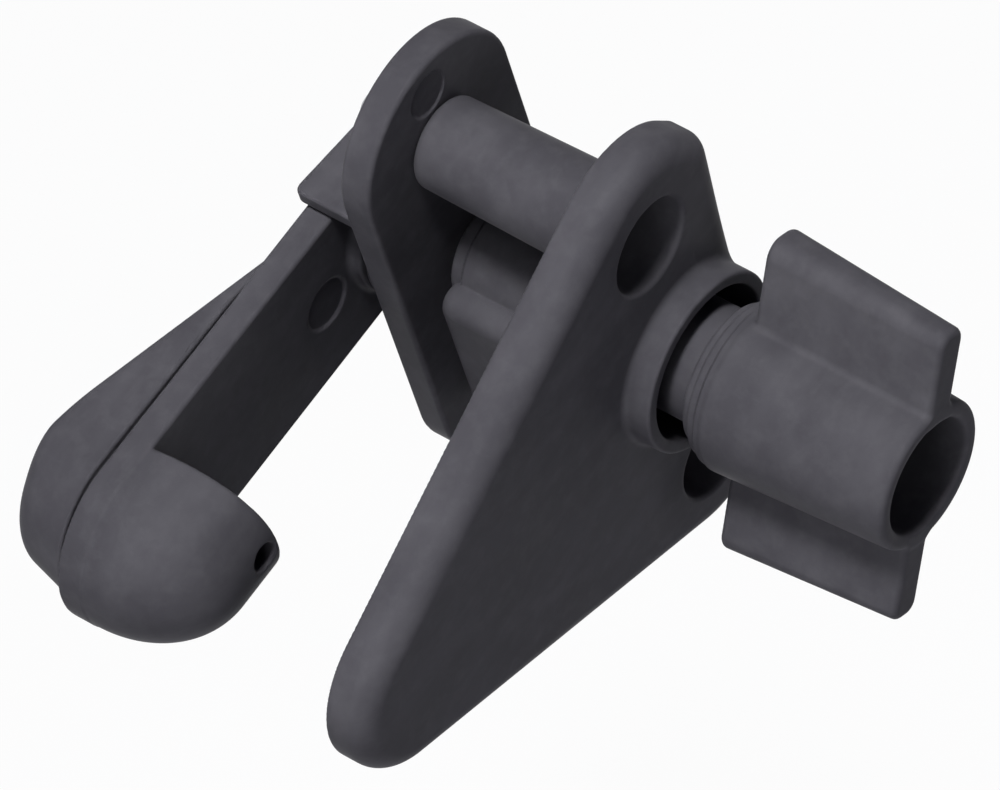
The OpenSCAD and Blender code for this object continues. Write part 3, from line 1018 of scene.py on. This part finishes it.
@dataclass(frozen=True)
class ClampSet:
    """The two clamp screws with their washers and nuts."""

    screw: CapScrew = CapScrew(seat=9.6, head_way=-1, length=35.6, radius=3.0, head_r=5.0, head_h=6.0,
                               key=5.0, thread=1.0)
    head_washer: Washer = Washer(9.6, 1.4, 5.8, 3.2)
    nut_washer: Washer = Washer(37.6, 1.4, 6.6, 3.2)
    nut: HexNut = HexNut(39.0, 5.2, 10.0, 2.95)

    def build(self, finish: bpy.types.Material) -> None:
        """Makes all the fasteners of the clamp, each as a pair.

        Args:
            finish: The material.
        """
        for form, name, node, span in (
            (self.screw, "clamp_screw_pair", "clamp_screws", (3.6, 45.2, 5.0)),
            (self.head_washer, "head_washer_pair", "clamp_head_washers", (9.6, 11.0, 5.8)),
            (self.nut_washer, "nut_washer_pair", "clamp_nut_washers", (37.6, 39.0, 6.6)),
            (self.nut, "nut_pair", "clamp_nuts", (39.0, 44.2, 5.8)),
        ):
            SmallPart(form, name, node, span, Body.BASE, twin_z=LEVELS.screw_z).build(finish)


@dataclass(frozen=True)
class Pivot:
    """The spindle's end screws and washers, the spring and the two plain washers.

    Attributes:
        coil_r: Radius of the spring to the middle of its wire.
        closed: Share of the wire in each closed end.
        gap: Space between the spring and what it presses on.
        steps: Sections of the wire in each turn.
        sides: Corners of each section.
    """

    knob_screw: CapScrew = CapScrew(seat=-23.2, head_way=-1, length=12.0, radius=2.5, head_r=4.6, head_h=3.4,
                                    key=4.0, thread=0.8)
    knob_washer: Washer = Washer(-23.2, 1.2, 7.5, 2.7)
    arm_screw: CapScrew = replace(knob_screw, seat=52.4, head_way=1)
    arm_washer: Washer = Washer(51.2, 1.2, 7.5, 2.7)
    spring_washer: Washer = Washer(6.0, 1.2, 6.9, 5.15, 0.15)
    friction_washer: Washer = Washer(43.4, 0.8, 12.4, 5.15, 0.15)
    coil_r: float = 6.15
    wire_r: float = 0.6
    turns: int = 6
    closed: float = 0.12
    gap: float = 0.05
    steps: int = 56
    sides: int = 14

    def spring(self, finish: bpy.types.Material) -> None:
        """Makes the coil spring as a wire swept along its helix.

        Args:
            finish: The material.
        """
        count = self.turns * self.steps
        t = np.linspace(0, 1, count + 1)
        length = LEVELS.sleeve_floor - LEVELS.spring_start
        climb = np.clip((t - self.closed) / (1 - 2 * self.closed), 0, 1)
        y = LEVELS.spring_start + self.wire_r + self.gap + (length - 2 * (self.wire_r + self.gap)) * climb
        turn = math.tau * self.turns * t
        around = np.linspace(0, math.tau, self.sides, endpoint=False)
        r = self.coil_r + self.wire_r * np.cos(around)[None]
        rise = y[:, None] + self.wire_r * np.sin(around)[None]
        points = np.stack([r * np.cos(turn)[:, None], rise, -r * np.sin(turn)[:, None]], -1).reshape(-1, 3)
        i, k = np.meshgrid(np.arange(count), np.arange(self.sides), indexing="ij")
        nxt = (k + 1) % self.sides
        quads = np.stack([i * self.sides + k, (i + 1) * self.sides + k,
                          (i + 1) * self.sides + nxt, i * self.sides + nxt], -1).reshape(-1, 4)
        caps = [list(range(self.sides))[::-1], [count * self.sides + s for s in range(self.sides)]]
        mesh = bpy.data.meshes.new("pivot_coil")
        mesh.from_pydata((points * MM).tolist(), [], quads.tolist() + caps)
        mesh.polygons.foreach_set("use_smooth", np.ones(len(mesh.polygons), bool))
        mesh.update()
        dress(place_mesh("pivot_coil", mesh), "pivot_spring", Body.BASE, Slot.SPRING_WIRE, finish)

    def build(self, steel: bpy.types.Material, wire: bpy.types.Material, acetal: bpy.types.Material) -> None:
        """Makes the pivot's small parts and finishes the CAD spindle.

        Args:
            steel: Finish of the screws, their washers and the spindle.
            wire: Finish of the spring.
            acetal: Finish of the plain washers.
        """
        for form, name, node, span in (
            (self.knob_screw, "knob_screw_part", "knob_screw", (-26.6, -11.2, 4.6)),
            (self.knob_washer, "knob_washer_part", "knob_screw_washer", (-23.2, -22.0, 7.5)),
            (self.arm_screw, "arm_screw_part", "arm_screw", (40.4, 55.8, 4.6)),
            (self.arm_washer, "arm_washer_part", "arm_screw_washer", (51.2, 52.4, 7.5)),
        ):
            SmallPart(form, name, node, span).build(steel)
        for form, name, span, body in (
            (self.spring_washer, "spring_washer", (6.0, 7.2, 6.9), Body.CARRIAGE),
            (self.friction_washer, "friction_washer", (43.4, 44.2, 12.4), Body.BASE),
        ):
            SmallPart(form, f"{name}_part", name, span, body, Slot.ACETAL).build(acetal)
        self.spring(wire)
        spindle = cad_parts["pivot_spindle"]
        spindle.data.materials.clear()
        spindle.data.materials.append(steel)


# Finishes

def hex_colour(code: str) -> tuple[float, float, float, float]:
    """Turns an sRGB hex colour into the linear colour that the shaders take.

    Args:
        code: The colour, such as #808080.

    Returns:
        Linear red, green and blue, and 1 for opaque.
    """
    parts = [int(code[i:i + 2], 16) / 255 for i in (1, 3, 5)]
    linear = [c / 12.92 if c <= 0.04045 else ((c + 0.055) / 1.055) ** 2.4 for c in parts]
    return (*linear, 1.0)


def add_node(material: Owner, kind: str, values: dict[str | int, object] | None = None,
             links: dict[str | int, Source] | None = None, **settings: object) -> bpy.types.Node:
    """Adds a node with its settings and links.

    Args:
        material: The material or world it goes into.
        kind: The node's type.
        values: Values of its unlinked inputs.
        links: For an input, the node and the output that feed it.
        settings: Attributes of the node itself.

    Returns:
        The node.
    """
    node = material.node_tree.nodes.new(kind)
    for name, value in settings.items():
        setattr(node, name, value)
    for name, value in (values or {}).items():
        node.inputs[name].default_value = value
    for name, (source, output) in (links or {}).items():
        material.node_tree.links.new(source.outputs[output], node.inputs[name])
    return node


def grain(size_mm: float) -> float:
    """Scale of a noise whose grains are about this size."""
    return 1 / (size_mm * MM)


def feed(material: bpy.types.Material, shader: bpy.types.Node, links: dict[str, Source]) -> None:
    """Links nodes to the inputs of a material's shader."""
    for name, (node, output) in links.items():
        material.node_tree.links.new(node.outputs[output], shader.inputs[name])


def start_material(name: str, settings: dict[str | int, object]) -> tuple[bpy.types.Material, bpy.types.Node,
                                                                          dict[str | int, Source]]:
    """Makes an empty material.

    Args:
        name: The material's name.
        settings: Constants of its surface shader.

    Returns:
        The material, its surface shader, and the link that gives a texture the place on the object in metres.
    """
    material = bpy.data.materials.new(name)
    material.use_nodes = True
    material.node_tree.nodes.clear()
    shader = add_node(material, "ShaderNodeBsdfPrincipled", settings)
    add_node(material, "ShaderNodeOutputMaterial", links={"Surface": (shader, "BSDF")})
    return material, shader, {"Vector": (add_node(material, "ShaderNodeTexCoord"), "Object")}


@dataclass(frozen=True)
class MouldedNylon:
    """Injection-moulded black nylon with glass fibre, from a spark-finished mould.

    The eye sees a charcoal body with a dull satin sheen, a fine even texture of 0.1 to 0.2 mm, drawn here
    at 0.4 mm so that it shows, faint cloudy flow marks where the melt ran, and lighter patches where the
    part was rubbed.

    Attributes:
        grain_mm: Size of the fine texture.
        cloud_mm: Size of the flow marks across their length.
        flow_stretch: Scale of the flow marks along each axis; below 1 draws them out.
        rub_mm: Size of the rubbed patches.
        rub_most: Largest share of the rubbed colour.
        specular: Low, because the texture scatters most of the gloss.
        relief: Strength and height in mm of the fine texture.
        wave: Strength and height in mm of the flow marks.
    """

    body: str = "#424146"
    cloud: str = "#4f4e53"
    rub: str = "#68676b"
    grain_mm: float = 0.4
    cloud_mm: float = 14.0
    flow_stretch: tuple[float, float, float] = (0.45, 1.0, 1.0)
    rub_mm: float = 3.2
    rub_most: float = 0.16
    ior: float = 1.53
    rough: tuple[float, float] = (0.4, 0.55)
    specular: float = 0.02
    relief: tuple[float, float] = (0.35, 0.05)
    wave: tuple[float, float] = (0.2, 0.08)

    def build(self) -> bpy.types.Material:
        """Makes the material.

        Returns:
            The material.
        """
        mat, shader, at = start_material("black_nylon_moulded",
                                         {"IOR": self.ior, "Specular IOR Level": self.specular})
        flow = add_node(mat, "ShaderNodeMapping", {"Scale": self.flow_stretch}, at)
        cloud = add_node(mat, "ShaderNodeTexNoise",
                         {"Scale": grain(self.cloud_mm), "Detail": 4.0, "Roughness": 0.6},
                         {"Vector": (flow, "Vector")})
        soft = add_node(mat, "ShaderNodeMapRange", {"From Min": 0.42, "From Max": 0.72},
                        {"Value": (cloud, "Fac")})
        tint = add_node(mat, "ShaderNodeMix", {6: hex_colour(self.body), 7: hex_colour(self.cloud)},
                        {0: (soft, "Result")}, data_type="RGBA")
        rub = add_node(mat, "ShaderNodeTexNoise",
                       {"Scale": grain(self.rub_mm), "Detail": 5.0, "Roughness": 0.6, "Distortion": 0.2}, at)
        faint = add_node(mat, "ShaderNodeMapRange",
                         {"From Min": 0.46, "From Max": 0.78, "To Max": self.rub_most},
                         {"Value": (rub, "Fac")})
        worn = add_node(mat, "ShaderNodeMix", {7: hex_colour(self.rub)},
                        {0: (faint, "Result"), 6: (tint, 2)}, data_type="RGBA")
        fine = add_node(mat, "ShaderNodeTexNoise", {"Scale": grain(self.grain_mm), "Detail": 3.0}, at)
        low, high = self.rough
        sheen = add_node(mat, "ShaderNodeMapRange",
                         {"From Min": 0.3, "From Max": 0.7, "To Min": low, "To Max": high},
                         {"Value": (cloud, "Fac")})
        relief = add_node(mat, "ShaderNodeBump",
                          {"Strength": self.relief[0], "Distance": self.relief[1] * MM},
                          {"Height": (fine, "Fac")})
        wave = add_node(mat, "ShaderNodeBump", {"Strength": self.wave[0], "Distance": self.wave[1] * MM},
                        {"Height": (cloud, "Fac"), "Normal": (relief, "Normal")})
        feed(mat, shader, {"Base Color": (worn, 2), "Roughness": (sheen, "Result"),
                           "Normal": (wave, "Normal")})
        return mat


@dataclass(frozen=True)
class SmallPartFinish:
    """A finish of two shades with one fine texture that changes both gloss and height.

    Attributes:
        name: Name of the material.
        body: The main shade.
        shade: The other shade.
        grain_mm: Size of the fine texture.
        stain: Size in mm and detail of the change between the shades.
        detail: Detail of the fine texture.
        rough: Lowest and highest roughness.
        relief: Strength of the texture's height.
        settings: Name and value of the surface shader's own constant.
        height_mm: Height of the texture.
    """

    name: str
    body: str
    shade: str
    grain_mm: float
    stain: tuple[float, float]
    detail: float
    rough: tuple[float, float]
    relief: float
    settings: tuple[str, float]
    height_mm: float = 0.02

    def build(self) -> bpy.types.Material:
        """Makes the material.

        Returns:
            The material.
        """
        mat, shader, at = start_material(self.name, dict([self.settings]))
        fine = add_node(mat, "ShaderNodeTexNoise", {"Scale": grain(self.grain_mm), "Detail": self.detail}, at)
        stain = add_node(mat, "ShaderNodeTexNoise",
                         {"Scale": grain(self.stain[0]), "Detail": self.stain[1]}, at)
        tint = add_node(mat, "ShaderNodeMix", {6: hex_colour(self.body), 7: hex_colour(self.shade)},
                        {0: (stain, "Fac")}, data_type="RGBA")
        gloss = add_node(mat, "ShaderNodeMapRange", {"To Min": self.rough[0], "To Max": self.rough[1]},
                         {"Value": (fine, "Fac")})
        relief = add_node(mat, "ShaderNodeBump",
                          {"Strength": self.relief, "Distance": self.height_mm * MM},
                          {"Height": (fine, "Fac")})
        feed(mat, shader, {"Base Color": (tint, 2), "Roughness": (gloss, "Result"),
                           "Normal": (relief, "Normal")})
        return mat


# Stainless steel, cold formed and turned: a bright grey metal with the tool's fine marks, which are about
# 0.05 mm and are drawn at 0.3 mm so that they show, and small changes of gloss
STAINLESS_STEEL = SmallPartFinish(
    name="stainless_steel_turned", body="#b9babd", shade="#9b9ca0", grain_mm=0.3, stain=(4.0, 3.0),
    detail=4.0, rough=(0.22, 0.38), relief=0.15, settings=("Metallic", 1.0))
# Spring wire, drawn through a die: a darker, duller grey than the turned steel
SPRING_WIRE = replace(STAINLESS_STEEL, name="spring_wire_drawn", body="#8d8e93", shade="#77787d",
                      grain_mm=0.2, rough=(0.3, 0.45))
# Natural acetal, stamped from sheet: an off-white, slightly waxy plastic
ACETAL = SmallPartFinish(
    name="acetal_natural", body="#dedcd2", shade="#cfccc0", grain_mm=0.3, stain=(5.0, 4.0),
    detail=2.0, rough=(0.3, 0.45), relief=0.1, settings=("IOR", 1.48))


# Studio

@dataclass(frozen=True)
class Lamp:
    """A soft lamp that points at the object.

    Attributes:
        name: Its name.
        place: Where it hangs, in mm.
        size: Width of its square face in mm.
        power: Its power in watts.
        spread: Angle of its grid in degrees.
    """

    name: str
    place: tuple[float, float, float]
    size: float
    power: float
    spread: float = 180.0

    def build(self, aim: Vector) -> None:
        """Hangs the lamp so that it points at a place.

        Args:
            aim: The place in mm.
        """
        data = bpy.data.lights.new(self.name, "AREA")
        data.size = self.size * MM
        data.energy = self.power
        data.spread = math.radians(self.spread)
        lamp = bpy.data.objects.new(self.name, data)
        lamp.location = Vector(self.place) * MM
        lamp.rotation_euler = (Vector(self.place) - aim).to_track_quat("Z", "Y").to_euler()
        bpy.context.scene.collection.objects.link(lamp)


def seen_as_backdrop(owner: Owner) -> bpy.types.Node:
    """Tells the rays that see the white backdrop: those of the camera, of gloss and of glass.

    Args:
        owner: The material or the world that the nodes go into.

    Returns:
        A node that gives 1 for such a ray.
    """
    path = add_node(owner, "ShaderNodeLightPath")
    first = add_node(owner, "ShaderNodeMath",
                     links={0: (path, "Is Camera Ray"), 1: (path, "Is Glossy Ray")}, operation="MAXIMUM")
    return add_node(owner, "ShaderNodeMath", links={0: (first, 0), 1: (path, "Is Transmission Ray")},
                    operation="MAXIMUM")


@dataclass(frozen=True)
class Studio:
    """The floor, the lamps and the camera at the photograph's angle.

    Attributes:
        azimuth: Turn of the camera round the object in degrees; 0 looks along Y.
        elevation: Its angle above the level in degrees.
        roll: Its turn about its own axis in degrees.
        distance: Its distance from the aim in mm.
        aim: What the camera's distance and the lamps are set by, in mm.
        pixels_per_mm: Scale of the picture at the pivot's origin.
        origin_pixel: Where that origin falls in the picture.
        image: Width and height of the picture in pixels.
        sensor: Width of the camera's sensor in mm.
        clip: Nearest and farthest distance that the camera sees, in metres.
        floor_z: Height of the floor in mm.
        floor_half: Half the width of the floor in mm.
        paper: The floor's two shades.
        fibre_mm: Size of the change between them.
        fill: Strength of the soft light from all round.
        backdrop_share: How much of the floor that the camera sees is plain white and not lit.
    """

    azimuth: float = -37.71
    elevation: float = 56.67
    roll: float = 19.51
    distance: float = 1500.0
    aim: tuple[float, float, float] = (-25.0, 10.0, 0.0)
    pixels_per_mm: float = 6.51
    origin_pixel: tuple[float, float] = (642.55, 328.71)
    image: tuple[int, int] = (1000, 790)
    sensor: float = 36.0
    clip: tuple[float, float] = (0.05, 50.0)
    floor_z: float = -220.0
    floor_half: float = 3000.0
    paper: tuple[str, str] = ("#a8a8b4", "#aeaeba")
    fibre_mm: float = 2.0
    paper_rough: float = 0.9
    fill: float = 0.025
    fill_colour: str = "#a9a4ee"
    backdrop_share: float = 0.96
    lamps: tuple[Lamp, ...] = (
        Lamp("key", (-80, -25, 960), size=180, power=0.76, spread=45),
        Lamp("left_fill", (-900, -60, 160), size=700, power=1.15, spread=90),
        Lamp("front_fill", (-250, -900, 250), size=500, power=0.5, spread=90),
        Lamp("rear_rim", (-250, 700, 500), size=600, power=1.0),
    )

    def camera(self) -> None:
        """Places the camera so that the pivot's origin falls on its pixel."""
        a, e, r = (math.radians(v) for v in (self.azimuth, self.elevation, self.roll))
        back = Vector((math.sin(a) * math.cos(e), -math.cos(a) * math.cos(e), math.sin(e)))
        right = Vector((math.cos(a), math.sin(a), 0))
        up = back.cross(right)
        right, up = math.cos(r) * right - math.sin(r) * up, math.sin(r) * right + math.cos(r) * up
        aim = Vector(self.aim)
        depth = self.distance + aim.dot(back)
        near = self.pixels_per_mm * self.distance / depth
        wide = (self.origin_pixel[0] - self.image[0] / 2) / near
        high = (self.image[1] / 2 - self.origin_pixel[1]) / near
        aim += right * (-aim.dot(right) - wide) + up * (-aim.dot(up) - high)
        eye = aim + back * self.distance
        data = bpy.data.cameras.new("camera")
        data.sensor_fit = "HORIZONTAL"
        data.sensor_width = self.sensor
        data.lens = self.pixels_per_mm * self.distance * self.sensor / self.image[0]
        data.clip_start, data.clip_end = self.clip
        camera = bpy.data.objects.new("camera", data)
        rows = [[right[i], up[i], back[i], eye[i] * MM] for i in range(3)]
        camera.matrix_world = Matrix([*rows, [0, 0, 0, 1]])
        bpy.context.scene.collection.objects.link(camera)
        bpy.context.scene.camera = camera

    def floor(self) -> None:
        """Lays the pale floor, which the camera sees as white with a soft shadow."""
        half, z = self.floor_half * MM, self.floor_z * MM
        mesh = bpy.data.meshes.new("floor")
        corners = [(-half, -half, z), (half, -half, z), (half, half, z), (-half, half, z)]
        mesh.from_pydata(corners, [], [(0, 1, 2, 3)])
        floor = place_mesh("floor", mesh)
        mat, shader, at = start_material("floor_paper_white", {"Roughness": self.paper_rough})
        fibre = add_node(mat, "ShaderNodeTexNoise", {"Scale": grain(self.fibre_mm), "Detail": 3.0}, at)
        tint = add_node(mat, "ShaderNodeMix", {6: hex_colour(self.paper[0]), 7: hex_colour(self.paper[1])},
                        {0: (fibre, "Fac")}, data_type="RGBA")
        feed(mat, shader, {"Base Color": (tint, 2)})
        glow = add_node(mat, "ShaderNodeEmission", {"Color": (1, 1, 1, 1), "Strength": 1.0})
        seen = seen_as_backdrop(mat)
        share = add_node(mat, "ShaderNodeMath", {1: self.backdrop_share}, {0: (seen, 0)},
                         operation="MULTIPLY")
        blend = add_node(mat, "ShaderNodeMixShader", links={0: (share, 0), 1: (shader, 0), 2: (glow, 0)})
        output = next(n for n in mat.node_tree.nodes if n.type == "OUTPUT_MATERIAL")
        feed(mat, output, {"Surface": (blend, 0)})
        mesh.materials.append(mat)

    def world(self) -> None:
        """Sets a plain soft fill, and white where the camera sees past the floor."""
        world = bpy.data.worlds.new("studio")
        world.use_nodes = True
        bpy.context.scene.world = world
        world.node_tree.nodes.clear()
        fill = add_node(world, "ShaderNodeBackground", {0: hex_colour(self.fill_colour), 1: self.fill})
        white = add_node(world, "ShaderNodeBackground", {0: (1, 1, 1, 1), 1: 1.0})
        seen = seen_as_backdrop(world)
        blend = add_node(world, "ShaderNodeMixShader", links={0: (seen, 0), 1: (fill, 0), 2: (white, 0)})
        add_node(world, "ShaderNodeOutputWorld", links={"Surface": (blend, 0)})

    def build(self) -> None:
        """Makes the studio."""
        bpy.context.scene.view_settings.view_transform = "Standard"
        self.camera()
        self.floor()
        self.world()
        for lamp in self.lamps:
            lamp.build(Vector(self.aim))


def main() -> None:
    """Builds the latch and its studio."""
    logging.basicConfig(level=logging.INFO, format="%(message)s")
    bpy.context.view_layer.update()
    Studio().build()
    nylon = MouldedNylon().build()
    steel, wire, acetal = STAINLESS_STEEL.build(), SPRING_WIRE.build(), ACETAL.build()
    for moulding in (FrontPlate(), RearPlate(), WingKnob(), LatchArm()):
        moulding.build(nylon)
    ClampSet().build(steel)
    Pivot().build(steel, wire, acetal)


if __name__ == "__main__":
    main()
